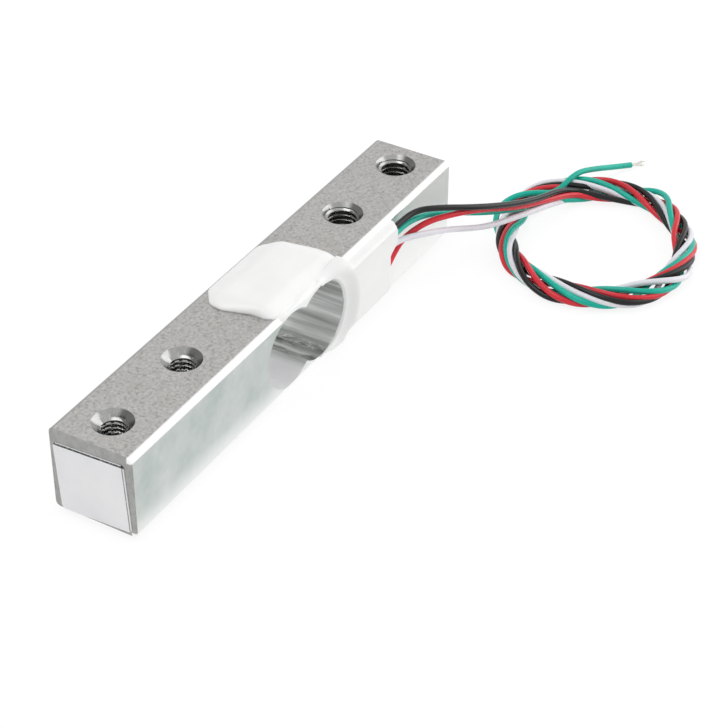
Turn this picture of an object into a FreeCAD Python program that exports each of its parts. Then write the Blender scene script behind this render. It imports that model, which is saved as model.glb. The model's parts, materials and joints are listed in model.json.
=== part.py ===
"""Single point load cell: an aluminium beam with a double-lobed hole, bonded strain gauges,
a silicone coat and four coloured leads that end in a small coil.

Millimetres. X runs along the beam from the load end to the fixed end, Y across it, Z up. The
origin is on the underside, midway between the two fixed-end holes.
"""
import FreeCAD, Part

import math
import os

from FreeCAD import Rotation, Vector

# Beam
BEAM_LENGTH = 80.0
BEAM_WIDTH = 12.7
BEAM_HEIGHT = 12.7
EDGE_RADIUS = 0.9            # the four long edges
END_BREAK = 0.2              # the sharp edges round each end face

# Tapped holes, right through from top to bottom, modelled at their tapping-drill size
HOLE_PITCH = 15.0
HOLE_TO_END = 5.0            # end face to the axis of the nearest hole
FIXED_HOLE_RADIUS = 2.1      # M5
FIXED_MOUTH_RADIUS = 2.95
LOAD_HOLE_RADIUS = 1.65      # M4
LOAD_MOUTH_RADIUS = 2.75

# Double-lobed hole across the beam, which leaves four thin sections that bend
LOBE_RADIUS = 5.75
LOBE_SPACING = 7.6
UPPER_CUSP_RADIUS = 1.4      # the tip of metal that hangs between the lobes is well rounded
LOWER_CUSP_RADIUS = 0.4

# Strain gauges: polyimide film with an etched foil grid and two solder tabs
FILM_THICKNESS = 0.06
FOIL_THICKNESS = 0.03
FILM_MARGIN = 0.4
GRID_LENGTH = 2.4
GRID_LINES = 6               # an even number, so both ends of the foil are at the tabs
LINE_WIDTH = 0.22
LINE_GAP = 0.16
LOOP_LENGTH = 0.25
TAB_NECK = 0.45
TAB_LENGTH = 0.9
TAB_WIDTH = 0.85

# Solder strip on the beam's near side, one pad to a lead
STRIP_GAP = 2.6              # from the lobe to the strip
STRIP_LENGTH = 8.0
STRIP_WIDTH = 1.5
STRIP_THICKNESS = 0.3
STRIP_Z = 7.4
PAD_PITCH = 1.9
PAD_SIZE = 1.2
PAD_THICKNESS = 0.035
PAD_SOLDER_RADIUS = 0.5
PAD_SOLDER_HEIGHT = 0.6
TAB_SOLDER_RADIUS = 0.3
TAB_SOLDER_HEIGHT = 0.25
SOLDER_TAPER = 0.5           # top radius of a solder bead over its foot

# Wires
LEAD_DIAMETER = 0.9          # over the insulation
CORE_DIAMETER = 0.44         # tinned strands
INNER_CORE_LENGTH = 1.9
TIP_LENGTH = 3.2
FINE_WIRE_DIAMETER = 0.14    # enamelled wires between gauges and strip, drawn six-sided
FINE_WIRE_SIDES = 6
FINE_WIRE_LIFT = 0.08        # its centre above the metal
CROSSING_LIFT = 0.25         # the same where it passes over another one
ARC_SHARE = 0.45             # the part of the shorter run that a bend may use

# Silicone coat
COAT_TOP = 1.2
COAT_SIDE = 1.45
COAT_BOTTOM = 0.8
COAT_WRAP = 1.0              # how far the side coat reaches in over the top and the underside
COAT_TO_SIDE = 0.65          # from the patches' straight edges to the beam's sides
COAT_CORNER = 1.6
COAT_ROUND = 0.9
COAT_BORE_MARGIN = 0.3       # bare metal left round the lobe
COAT_CORE = 0.12             # room in the coat over what it covers

# Label on the load end
LABEL_WIDTH = 10.8
LABEL_HEIGHT = 10.5
LABEL_THICKNESS = 0.12
LABEL_CORNER = 0.6
LABEL_CENTRE_Z = 5.72
LABEL_TILT = -3.2            # degrees: stuck on by hand, not quite straight

# Coil of leads, lying on what the cell stands on
COIL_X = 21.7
COIL_Y = -26.5
COIL_RADIUS = 13.1
COIL_ROPE_RADIUS = 2.0

# Derived places
FIXED_END_X = HOLE_TO_END + HOLE_PITCH / 2
LOAD_END_X = FIXED_END_X - BEAM_LENGTH
MIDDLE_X = FIXED_END_X - BEAM_LENGTH / 2
MIDDLE_Z = BEAM_HEIGHT / 2
SIDE_Y = -BEAM_WIDTH / 2
LOAD_LOBE_X = MIDDLE_X - LOBE_SPACING / 2
FIXED_LOBE_X = MIDDLE_X + LOBE_SPACING / 2
STRIP_X = FIXED_LOBE_X + LOBE_RADIUS + STRIP_GAP + STRIP_WIDTH / 2
FLOOR_Z = -COAT_BOTTOM

# Lead routes: from the solder strip along the beam's side under the coat, out of the coat and
# down to the coil. The points are chosen by hand, as the leads lie.
LEAD_ROUTES = {
    "red": [
        (-12.6, -7.1, 4.6), (-9.6, -7.1, 4.7), (-7.0, -7.05, 5.6), (-4.9, -7.05, 7.0),
        (-2.8, -7.2, 8.2), (0.6, -9.0, 9.7), (4.0, -11.4, 9.9), (9.2, -13.2, 8.5),
        (17.6, -15.9, 5.3), (25.6, -18.3, 3.4), (31.9, -20.3, 2.2)],
    "white": [
        (-12.6, -7.1, 6.5), (-9.9, -7.1, 7.5), (-7.2, -7.1, 8.7), (-4.5, -7.5, 9.0),
        (-1.4, -9.1, 8.7), (3.6, -10.9, 7.4), (10.2, -13.9, 4.6), (17.0, -16.2, 3.7),
        (24.8, -18.7, 2.8), (32.0, -21.3, 1.3)],
    "green": [
        (-12.6, -7.1, 8.4), (-9.6, -7.1, 9.3), (-6.0, -7.1, 10.2), (-0.8, -7.6, 10.7),
        (4.8, -9.4, 9.2), (11.5, -13.0, 6.5), (19.1, -15.5, 4.1), (26.3, -17.3, 2.5),
        (31.9, -19.3, 1.8)],
    "black": [
        (-12.6, -7.1, 10.3), (-9.4, -7.1, 10.9), (-5.0, -7.2, 11.5), (-0.6, -7.8, 11.9),
        (2.2, -10.0, 11.6), (7.4, -13.4, 9.9), (14.6, -15.8, 7.3), (21.8, -17.4, 5.2),
        (28.6, -18.0, 4.1), (32.6, -19.4, 2.6)],
}

# The far ends of the leads, beyond the coil. Only the green one stands clear of it; the other
# three lie on the floor along the foot of the coil.
TAIL_ROUTES = {
    "red": [(32.9, -16.9, 0.6), (35.4, -18.0, -0.1), (37.2, -20.2, -0.35), (38.2, -22.9, -0.35)],
    "white": [(25.9, -12.6, 0.5), (28.4, -12.4, -0.2), (30.8, -13.5, -0.35)],
    "green": [(31.3, -17.6, 2.2), (34.1, -16.9, 2.5), (38.1, -18.3, 1.65), (42.2, -20.3, 0.5),
              (44.7, -21.7, -0.05)],
    "black": [(34.9, -20.6, 0.6), (36.4, -22.1, -0.1), (37.2, -24.4, -0.35),
              (37.5, -27.0, -0.35)],
}


# ---------------------------------------------------------------- wires

def bent_path(points, widest_bend):
    """Straight runs joined by tangent arcs, as a wire, and the radii of the arcs.

    Each arc is as large as its two runs allow, or widest_bend if that is less.
    """
    edges = []
    radii = []
    run_start = points[0]
    for before, corner, after in zip(points, points[1:], points[2:]):
        back = before - corner
        ahead = after - corner
        longest_setback = ARC_SHARE * min(back.Length, ahead.Length)
        back.normalize()
        ahead.normalize()
        half_turn = (math.pi - back.getAngle(ahead)) / 2
        radius = min(longest_setback / math.tan(half_turn), widest_bend)
        setback = radius * math.tan(half_turn)
        inward = (back + ahead).normalize()
        centre = corner + inward * math.hypot(radius, setback)
        arc_start = corner + back * setback
        arc_end = corner + ahead * setback
        edges.append(Part.LineSegment(run_start, arc_start).toShape())
        edges.append(Part.Arc(arc_start, centre - inward * radius, arc_end).toShape())
        run_start = arc_end
        radii.append(radius)
    edges.append(Part.LineSegment(run_start, points[-1]).toShape())
    return Part.Wire(edges), radii


def round_section(start, direction, diameter):
    return Part.Face(Part.Wire(Part.makeCircle(diameter / 2, start, direction)))


def many_sided_section(start, direction, diameter, sides):
    across = direction.cross(Vector(0, 0, 1))
    if across.Length < 1e-6 * direction.Length:
        across = direction.cross(Vector(1, 0, 0))
    across = across.normalize() * (diameter / 2)
    corners = [start + Rotation(direction, 360 * side / sides).multVec(across)
               for side in range(sides + 1)]
    return Part.Face(Part.makePolygon(corners))


def swept(path, section):
    solid = path.makePipe(section)
    if abs(solid.Volume / (section.Area * path.Length) - 1) > 0.01:
        raise ValueError("a wire's volume is not its section times its length")
    return solid


def lead_tube(route, name):
    points = [Vector(*point) for point in route]
    path, radii = bent_path(points, math.inf)
    print(name, "bend radii", [round(radius, 1) for radius in radii])
    return swept(path, round_section(points[0], points[1] - points[0], LEAD_DIAMETER))


def fine_wire(route):
    points = [Vector(*point) for point in route]
    path, _ = bent_path(points, EDGE_RADIUS + FINE_WIRE_LIFT)
    section = many_sided_section(points[0], points[1] - points[0], FINE_WIRE_DIAMETER,
                                 FINE_WIRE_SIDES)
    return swept(path, section)


def straight_core(start, direction, length):
    """Bare tinned strands that continue a lead straight past the end of its insulation."""
    return Part.makeCylinder(CORE_DIAMETER / 2, length, start, direction)


def inner_core(route):
    """The stripped end of a lead, which lies over its solder pad."""
    start = Vector(*route[0])
    return straight_core(start, start - Vector(*route[1]), INNER_CORE_LENGTH)


def outer_tip(route):
    """The stripped end of a lead beyond the coil."""
    end = Vector(*route[-1])
    return straight_core(end, end - Vector(*route[-2]), TIP_LENGTH)


def coil():
    """The outer shape of the wound leads."""
    centre = Vector(COIL_X, COIL_Y, FLOOR_Z + COIL_ROPE_RADIUS)
    return Part.makeTorus(COIL_RADIUS, COIL_ROPE_RADIUS, centre)


# ---------------------------------------------------------------- beam

def edges_where(shape, test):
    return [edge for edge in shape.Edges if test(edge)]


def rounded_bar():
    corner = Vector(LOAD_END_X, -BEAM_WIDTH / 2, 0)
    bar = Part.makeBox(BEAM_LENGTH, BEAM_WIDTH, BEAM_HEIGHT, corner)
    long_edges = edges_where(bar, lambda edge: abs(edge.BoundBox.XLength - BEAM_LENGTH) < 1e-6)
    bar = bar.makeFillet(EDGE_RADIUS, long_edges)
    end_edges = edges_where(bar, lambda edge: edge.BoundBox.XLength < 1e-6)
    return bar.makeChamfer(END_BREAK, end_edges)


def cusp_height(radius):
    """How far a cusp's rounding centre lies from the hole's mid-height."""
    return math.sqrt((LOBE_RADIUS + radius) ** 2 - (LOBE_SPACING / 2) ** 2)


def lobed_hole():
    """Two lobes that run into each other, with both cusps between them rounded."""
    upper = cusp_height(UPPER_CUSP_RADIUS)
    lower = cusp_height(LOWER_CUSP_RADIUS)
    half = LOBE_SPACING / 2

    def at(x, z):
        return Vector(MIDDLE_X + x, -BEAM_WIDTH, MIDDLE_Z + z)

    def touch(side, height, radius):
        share = LOBE_RADIUS / (LOBE_RADIUS + radius)
        return at(side * half * (1 - share), height * share)

    upper_left = touch(-1, upper, UPPER_CUSP_RADIUS)
    upper_right = touch(1, upper, UPPER_CUSP_RADIUS)
    lower_left = touch(-1, -lower, LOWER_CUSP_RADIUS)
    lower_right = touch(1, -lower, LOWER_CUSP_RADIUS)
    outline = Part.Wire([
        Part.Arc(upper_left, at(-half - LOBE_RADIUS, 0), lower_left).toShape(),
        Part.Arc(lower_left, at(0, LOWER_CUSP_RADIUS - lower), lower_right).toShape(),
        Part.Arc(lower_right, at(half + LOBE_RADIUS, 0), upper_right).toShape(),
        Part.Arc(upper_right, at(0, upper - UPPER_CUSP_RADIUS), upper_left).toShape(),
    ])
    return Part.Face(outline).extrude(Vector(0, 2 * BEAM_WIDTH, 0))


def countersunk_hole(x, radius, mouth_radius):
    """A through hole with a 90-degree countersink at each face."""
    depth = mouth_radius - radius
    hole = Part.makeCylinder(radius, BEAM_HEIGHT, Vector(x, 0, 0))
    lower = Part.makeCone(mouth_radius, radius, depth, Vector(x, 0, 0))
    upper = Part.makeCone(radius, mouth_radius, depth, Vector(x, 0, BEAM_HEIGHT - depth))
    return hole.fuse([lower, upper])


def beam():
    shape = rounded_bar().cut(lobed_hole())
    holes = []
    for number in range(2):
        fixed_x = FIXED_END_X - HOLE_TO_END - number * HOLE_PITCH
        load_x = LOAD_END_X + HOLE_TO_END + number * HOLE_PITCH
        holes.append(countersunk_hole(fixed_x, FIXED_HOLE_RADIUS, FIXED_MOUTH_RADIUS))
        holes.append(countersunk_hole(load_x, LOAD_HOLE_RADIUS, LOAD_MOUTH_RADIUS))
    return shape.cut(holes)


# ---------------------------------------------------------------- gauges

GRID_WIDTH = GRID_LINES * LINE_WIDTH + (GRID_LINES - 1) * LINE_GAP
FILM_WIDTH = GRID_WIDTH + 2 * FILM_MARGIN
FILM_LENGTH = GRID_LENGTH + LOOP_LENGTH + TAB_NECK + TAB_LENGTH + 2 * FILM_MARGIN
FOIL_Z = BEAM_HEIGHT + FILM_THICKNESS
TAB_X = GRID_LENGTH / 2 + TAB_NECK + TAB_LENGTH / 2
TAB_Y = (GRID_WIDTH - TAB_WIDTH) / 2


def gauge_film():
    """The backing, with the middle of the grid at the origin and the tabs towards +X."""
    start = -GRID_LENGTH / 2 - LOOP_LENGTH - FILM_MARGIN
    corner = Vector(start, -FILM_WIDTH / 2, BEAM_HEIGHT)
    return Part.makeBox(FILM_LENGTH, FILM_WIDTH, FILM_THICKNESS, corner)


def foil_box(x, y, length, width):
    return Part.makeBox(length, width, FOIL_THICKNESS, Vector(x, y, FOIL_Z))


def gauge_foil():
    """One strip folded to and fro, whose two ends widen into solder tabs towards +X."""
    step = LINE_WIDTH + LINE_GAP
    pieces = []
    for line in range(GRID_LINES):
        outermost = line in (0, GRID_LINES - 1)
        length = GRID_LENGTH + (TAB_NECK if outermost else 0)
        pieces.append(foil_box(-GRID_LENGTH / 2, line * step - GRID_WIDTH / 2, length, LINE_WIDTH))
    for line in range(GRID_LINES - 1):
        x = -GRID_LENGTH / 2 - LOOP_LENGTH if line % 2 == 0 else GRID_LENGTH / 2
        pieces.append(foil_box(x, line * step - GRID_WIDTH / 2, LOOP_LENGTH, step + LINE_WIDTH))
    for side in (-1, 1):
        x = GRID_LENGTH / 2 + TAB_NECK
        pieces.append(foil_box(x, side * TAB_Y - TAB_WIDTH / 2, TAB_LENGTH, TAB_WIDTH))
    return pieces[0].fuse(pieces[1:]).removeSplitter()


def gauge_envelope():
    """The space that a gauge's foil takes on its film."""
    start = -GRID_LENGTH / 2 - LOOP_LENGTH
    length = FILM_LENGTH - 2 * FILM_MARGIN
    return foil_box(start, -GRID_WIDTH / 2, length, GRID_WIDTH)


def to_underside(shape):
    return shape.mirror(Vector(0, 0, MIDDLE_Z), Vector(0, 0, 1))


def placed_on_beam(shape):
    """Four copies of what sits on one gauge, over and under both lobes, tabs outwards."""
    fixed = shape.translated(Vector(FIXED_LOBE_X, 0, 0))
    load = fixed.mirror(Vector(MIDDLE_X, 0, 0), Vector(1, 0, 0))
    return {
        "top_load_side": load,
        "top_fixed_side": fixed,
        "bottom_load_side": to_underside(load),
        "bottom_fixed_side": to_underside(fixed),
    }


# ---------------------------------------------------------------- solder strip and fine wires

STRIP_FACE_Y = SIDE_Y - STRIP_THICKNESS
PAD_FACE_Y = STRIP_FACE_Y - PAD_THICKNESS
LEAD_ORDER = ("red", "white", "green", "black")      # up the strip
PAD_Z = {
    colour: STRIP_Z + (place - (len(LEAD_ORDER) - 1) / 2) * PAD_PITCH
    for place, colour in enumerate(LEAD_ORDER)
}


def solder_strip():
    corner = Vector(STRIP_X - STRIP_WIDTH / 2, STRIP_FACE_Y, STRIP_Z - STRIP_LENGTH / 2)
    return Part.makeBox(STRIP_WIDTH, STRIP_THICKNESS, STRIP_LENGTH, corner)


def solder_pads():
    half = PAD_SIZE / 2
    return [Part.makeBox(PAD_SIZE, PAD_THICKNESS, PAD_SIZE,
                         Vector(STRIP_X - half, PAD_FACE_Y, z - half))
            for z in PAD_Z.values()]


def solder_bead(foot, direction, radius, height):
    return Part.makeCone(radius, radius * SOLDER_TAPER, height, foot, direction)


def tab_solder():
    beads = [solder_bead(Vector(TAB_X, side * TAB_Y, FOIL_Z + FOIL_THICKNESS), Vector(0, 0, 1),
                         TAB_SOLDER_RADIUS, TAB_SOLDER_HEIGHT)
             for side in (-1, 1)]
    placed = placed_on_beam(Part.Compound(beads))
    return [solid for compound in placed.values() for solid in compound.Solids]


def pad_solder():
    return [solder_bead(Vector(STRIP_X, PAD_FACE_Y, z), Vector(0, -1, 0),
                        PAD_SOLDER_RADIUS, PAD_SOLDER_HEIGHT)
            for z in PAD_Z.values()]


# Where a fine wire's centre runs: on the top face, on a gauge tab, and out from the near side
ON_BEAM = BEAM_HEIGHT + FINE_WIRE_LIFT
ON_TAB = FOIL_Z + FOIL_THICKNESS + FINE_WIRE_DIAMETER / 2
OFF_FILM = ON_BEAM + FILM_THICKNESS
ON_PAD_Y = PAD_FACE_Y - FINE_WIRE_DIAMETER / 2
CLIMB = 0.45                 # room that a wire takes to climb onto the strip
LOAD_TAB_X = LOAD_LOBE_X - TAB_X
FIXED_TAB_X = FIXED_LOBE_X + TAB_X
LANE_Y = -FILM_WIDTH / 2 - 0.4
EDGE_Y = -4.9                # where a wire turns straight towards the beam's edge
EDGE_LANE_START = 4.4        # from the lobe to the first wire over the edge
EDGE_LANE_PITCH = 0.3
EDGE_ROOM = 0.3              # from the outer wires to the ends of their room in the coat
PAD_ENTRY_X = STRIP_X - 0.35


def gauge_jumper():
    """Joins the two tabs of a pair of gauges that are nearest the strip."""
    return [(LOAD_TAB_X, -TAB_Y, ON_TAB), (LOAD_TAB_X + 1.0, LANE_Y, OFF_FILM),
            (FIXED_TAB_X - 1.0, LANE_Y, OFF_FILM), (FIXED_TAB_X - 0.15, -TAB_Y, ON_TAB)]


def over_edge(x, lift):
    """Straight across the beam's upper near edge at x, down to below its rounding."""
    wall_y = SIDE_Y - lift
    return [(x, EDGE_Y, ON_BEAM), (x, wall_y, BEAM_HEIGHT + lift),
            (x, wall_y, BEAM_HEIGHT - 1.6)]


def onto_pad(z, lift):
    """From beside the strip onto the pad at height z."""
    beside = STRIP_X - STRIP_WIDTH / 2 - CLIMB
    return [(beside, SIDE_Y - lift, z), (beside + CLIMB - 0.05, ON_PAD_Y - 0.02, z),
            (PAD_ENTRY_X, ON_PAD_Y, z)]


def gauge_wires(pads, lift):
    """The three wires of the upper pair of gauges, to the pads at the heights in pads. The far
    wire starts at the load-side gauge, the other two at the fixed-side one."""
    far_x = FIXED_LOBE_X + EDGE_LANE_START
    near_x = far_x + EDGE_LANE_PITCH
    last_x = near_x + EDGE_LANE_PITCH
    side_x = FIXED_LOBE_X + LOBE_RADIUS + 0.75
    far_z, middle_z, last_z = pads
    far = [(LOAD_TAB_X, TAB_Y, ON_TAB), (LOAD_TAB_X - 0.7, -0.2, ON_TAB),
           (LOAD_TAB_X - 0.3, -1.8, ON_BEAM), (LOAD_TAB_X + 1.2, LANE_Y - 0.6, ON_BEAM),
           (FIXED_TAB_X, LANE_Y - 0.6, ON_BEAM)]
    far += over_edge(far_x, lift)
    far += [(side_x, SIDE_Y - lift, MIDDLE_Z + 1.7)]
    middle = [(FIXED_TAB_X, -TAB_Y, ON_TAB), (FIXED_TAB_X + 1.6, -2.4, ON_BEAM)]
    middle += over_edge(near_x, lift)
    last = [(FIXED_TAB_X, TAB_Y, ON_TAB), (FIXED_TAB_X + 1.9, 0.2, ON_TAB),
            (FIXED_TAB_X + 2.5, -2.2, ON_BEAM)]
    last += over_edge(last_x, lift)
    return [far + onto_pad(far_z, lift), middle + onto_pad(middle_z, lift),
            last + onto_pad(last_z, lift)]


def upper_wires():
    pads = (PAD_Z["red"] + 0.15, PAD_Z["green"] + 0.15, PAD_Z["black"] + 0.15)
    return [fine_wire(route) for route in gauge_wires(pads, FINE_WIRE_LIFT)]


def lower_wires():
    """The same three on the underside, which pass over the upper ones on the beam's side."""
    heights = (PAD_Z["black"] - 0.15, PAD_Z["white"] - 0.15, PAD_Z["red"] - 0.15)
    pads = [BEAM_HEIGHT - height for height in heights]
    return [to_underside(fine_wire(route)) for route in gauge_wires(pads, CROSSING_LIFT)]


# ---------------------------------------------------------------- silicone coat and label

def flat_pad(corners, thickness):
    """A prism on a closed outline of corners; thickness is a vector."""
    return Part.Face(Part.makePolygon(corners + [corners[0]])).extrude(thickness)


def upper_coat(thickness):
    """The patch over the gauges and the strip: straight along the beam's edges, bulging at both
    ends, with a rounded rim."""
    base = BEAM_HEIGHT - EDGE_RADIUS / 2
    reach = BEAM_WIDTH / 2 - COAT_TO_SIDE
    outline = [(-7.4, -reach), (-7.3, -2.6), (-8.6, 1.6), (-8.3, 3.7), (-5.6, reach),
               (6.9, reach), (8.8, 3.0), (10.3, -1.8), (10.3, -4.0), (9.7, -reach)]
    corners = [Vector(MIDDLE_X + x, y, base) for x, y in outline]
    top = BEAM_HEIGHT + thickness
    pad = flat_pad(corners, Vector(0, 0, top - base))
    upright = edges_where(pad, lambda edge: edge.BoundBox.ZLength > 1e-3)
    pad = pad.makeFillet(COAT_CORNER, upright)
    rim = edges_where(pad, lambda edge: abs(edge.BoundBox.ZMin - top) < 1e-3)
    return pad.makeFillet(min(COAT_ROUND, 0.9 * thickness), rim)


def side_coat():
    """The patch on the near side: it leaves the lobe bare, wraps over the beam's upper and lower
    edges to meet the other two patches, and ends in a nose round the leads."""
    inner_y = SIDE_Y + COAT_WRAP
    outer_y = SIDE_Y - COAT_SIDE
    clear = LOBE_RADIUS + COAT_BORE_MARGIN
    top = BEAM_HEIGHT + COAT_TOP - 0.05
    bottom = 0.05 - COAT_BOTTOM
    outline = [(0, top), (5.2, top), (7.4, 12.85), (18.6, 12.65), (20.6, 10.2), (18.2, 5.6),
               (18.2, 0.6), (14.0, -0.1), (9.0, -0.1), (6.0, bottom), (0, bottom)]
    corners = [Vector(FIXED_LOBE_X + x, inner_y, z) for x, z in outline]
    pad = flat_pad(corners, Vector(0, outer_y - inner_y, 0))
    upright = edges_where(pad, lambda edge: edge.BoundBox.YLength > 1e-3
                          and edge.BoundBox.XMin > FIXED_LOBE_X + 1e-3)
    pad = pad.makeFillet(COAT_CORNER, upright)
    rim = edges_where(pad, lambda edge: abs(edge.BoundBox.YMax - outer_y) < 1e-3
                      and edge.BoundBox.XMax > FIXED_LOBE_X + 1e-3)
    pad = pad.makeFillet(COAT_ROUND, rim)
    bare = Part.makeCylinder(clear, 2 * BEAM_WIDTH, Vector(FIXED_LOBE_X, -BEAM_WIDTH, MIDDLE_Z),
                             Vector(0, 1, 0))
    return pad.cut(bare)


def gauge_recess():
    """Room over the upper gauges, their solder and the wires that lead to the beam's edge."""
    start = LOAD_TAB_X - TAB_LENGTH / 2 - FILM_MARGIN - COAT_CORE
    end = FIXED_LOBE_X + EDGE_LANE_START + 2 * EDGE_LANE_PITCH + EDGE_ROOM
    tabs = Part.makeBox(FIXED_TAB_X + 0.6 - start, FILM_WIDTH + 2 * COAT_CORE,
                        FILM_THICKNESS + FOIL_THICKNESS + TAB_SOLDER_HEIGHT + COAT_CORE,
                        Vector(start, -FILM_WIDTH / 2 - COAT_CORE, BEAM_HEIGHT))
    wires = Part.makeBox(end - start, FILM_WIDTH / 2 - EDGE_Y, ON_TAB + COAT_CORE - BEAM_HEIGHT,
                         Vector(start, EDGE_Y, BEAM_HEIGHT))
    return tabs.fuse(wires)


def side_recess():
    """Room over the solder strip and over the wires round the beam's near edges."""
    edge_start = FIXED_LOBE_X + EDGE_LANE_START - EDGE_ROOM
    edge_end = FIXED_LOBE_X + EDGE_LANE_START + 2 * EDGE_LANE_PITCH + EDGE_ROOM
    grow = CROSSING_LIFT + FINE_WIRE_DIAMETER / 2 + COAT_CORE / 2
    corner = Vector(edge_start, SIDE_Y - grow, -grow)
    round_edge = Part.makeBox(edge_end - edge_start, -SIDE_Y + grow + EDGE_Y,
                              BEAM_HEIGHT + 2 * grow, corner)
    outer = edges_where(round_edge, lambda edge: edge.BoundBox.YMax < SIDE_Y - grow + 1e-6
                        and edge.BoundBox.XLength > 1e-6)
    round_edge = round_edge.makeFillet(EDGE_RADIUS + grow, outer)
    wires = Part.makeBox(STRIP_X - edge_start, grow, BEAM_HEIGHT - 2 * EDGE_RADIUS,
                         Vector(edge_start, SIDE_Y - grow, EDGE_RADIUS))
    kept = Part.makeCylinder(LOBE_RADIUS + COAT_BORE_MARGIN + 0.25, 2 * BEAM_WIDTH,
                             Vector(FIXED_LOBE_X, -BEAM_WIDTH, MIDDLE_Z), Vector(0, 1, 0))
    depth = STRIP_THICKNESS + PAD_THICKNESS + PAD_SOLDER_HEIGHT + COAT_CORE
    strip = Part.makeBox(STRIP_WIDTH + 2 * COAT_CORE, depth, STRIP_LENGTH + 2 * COAT_CORE,
                         Vector(STRIP_X - STRIP_WIDTH / 2 - COAT_CORE, SIDE_Y - depth,
                                STRIP_Z - STRIP_LENGTH / 2 - COAT_CORE))
    return round_edge.fuse([wires.cut(kept), strip])


def sealant(bare_beam, leads):
    """One run of silicone over the gauges, the strip and the first stretch of the leads."""
    lower = to_underside(upper_coat(COAT_BOTTOM))
    coat = upper_coat(COAT_TOP).fuse([side_coat(), lower])
    upper_recess = gauge_recess()
    recesses = [upper_recess, to_underside(upper_recess), side_recess()]
    cores = [inner_core(route) for route in LEAD_ROUTES.values()]
    return coat.cut([bare_beam] + recesses + cores + leads)


def end_label():
    corner = Vector(LOAD_END_X - LABEL_THICKNESS, -LABEL_WIDTH / 2, LABEL_CENTRE_Z - LABEL_HEIGHT / 2)
    label = Part.makeBox(LABEL_THICKNESS, LABEL_WIDTH, LABEL_HEIGHT, corner)
    short = edges_where(label, lambda edge: abs(edge.BoundBox.XLength - LABEL_THICKNESS) < 1e-6)
    label = label.makeFillet(LABEL_CORNER, short)
    label.rotate(Vector(LOAD_END_X, 0, LABEL_CENTRE_Z), Vector(1, 0, 0), LABEL_TILT)
    return label


# ---------------------------------------------------------------- all together

def save(name, shape):
    solids = shape if isinstance(shape, list) else shape.Solids
    whole = solids[0] if len(solids) == 1 else Part.Compound(solids)
    whole.exportStep(os.path.join("parts", name + ".step"))
    return whole


def main():
    os.makedirs("parts", exist_ok=True)
    wound = coil()
    save("lead_coil", wound)

    leads = []
    for colour, route in LEAD_ROUTES.items():
        leads.append(lead_tube(route, colour + " lead").cut(wound))
        save(colour + "_lead", leads[-1])
        save(colour + "_lead_tail", lead_tube(TAIL_ROUTES[colour], colour + " tail").cut(wound))
        save(colour + "_lead_tip", outer_tip(TAIL_ROUTES[colour]))

    cores = [inner_core(route) for route in LEAD_ROUTES.values()]
    for colour, core in zip(LEAD_ROUTES, cores):
        save(colour + "_core", core)

    bare_beam = beam()
    save("beam", bare_beam)

    for place, film in placed_on_beam(gauge_film()).items():
        save("gauge_film_" + place, film)
    for place, foil in placed_on_beam(gauge_foil()).items():
        save("gauge_foil_" + place, foil)

    upper_jumper = fine_wire(gauge_jumper())
    upper = upper_wires()
    lower = lower_wires()
    jumpers = [upper_jumper, to_underside(upper_jumper)]
    save("solder_strip", solder_strip())
    save("solder_pads", solder_pads())
    save("gauge_jumpers", jumpers)
    save("upper_gauge_wires", upper)
    save("lower_gauge_wires", lower)

    held = jumpers + upper + lower + cores
    save("gauge_solder", [bead.cut(held) for bead in tab_solder()])
    save("strip_solder", [bead.cut(held) for bead in pad_solder()])

    save("sealant", sealant(bare_beam, leads))
    save("end_label", end_label())


main()
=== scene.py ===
"""Looks of the single point load cell: camera, lights, materials, threads, silicone and leads.

Lengths are in metres, or in mm where a comment says so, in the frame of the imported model: +X
along the bar, away from its load end, and +Z up. The bar's underside is at z = 0.
"""
import json
import math

import bmesh
import bpy
from mathutils import Matrix, Vector

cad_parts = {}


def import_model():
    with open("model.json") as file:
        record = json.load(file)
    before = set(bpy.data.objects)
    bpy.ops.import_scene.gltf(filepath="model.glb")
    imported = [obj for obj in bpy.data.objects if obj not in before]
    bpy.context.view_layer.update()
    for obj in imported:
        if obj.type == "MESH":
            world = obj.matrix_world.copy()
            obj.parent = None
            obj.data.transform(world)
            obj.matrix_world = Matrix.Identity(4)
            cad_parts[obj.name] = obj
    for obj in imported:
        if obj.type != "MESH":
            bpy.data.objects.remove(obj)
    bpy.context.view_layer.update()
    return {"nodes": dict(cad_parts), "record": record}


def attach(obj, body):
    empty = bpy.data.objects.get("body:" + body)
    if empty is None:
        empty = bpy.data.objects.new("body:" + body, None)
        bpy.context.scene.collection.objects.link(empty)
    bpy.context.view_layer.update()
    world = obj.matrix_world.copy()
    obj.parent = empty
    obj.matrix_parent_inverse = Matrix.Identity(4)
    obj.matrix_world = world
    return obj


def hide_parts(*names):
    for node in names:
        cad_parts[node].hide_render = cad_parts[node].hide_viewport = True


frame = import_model()

MM = 0.001

# The camera, and how strongly the world lights what does not shine
LENS = 104.5
SENSOR_WIDTH = 36
CAMERA_PLACE = Vector((-222.635, -129.305, 175.932)) * MM
CAMERA_FORWARD = Vector((0.68682, 0.40504, -0.60350))
CAMERA_RIGHT = Vector((0.51084, -0.85966, 0.00441))
NEAR_CLIP = 0.01
WORLD_LIGHT = 0.58
FLOOR_GLOW = 1.05                       # of the floor to the camera and to what shines
FLOOR_GLOW_SHARE = 0.82                 # the rest takes light, and so shows the shadow

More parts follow.
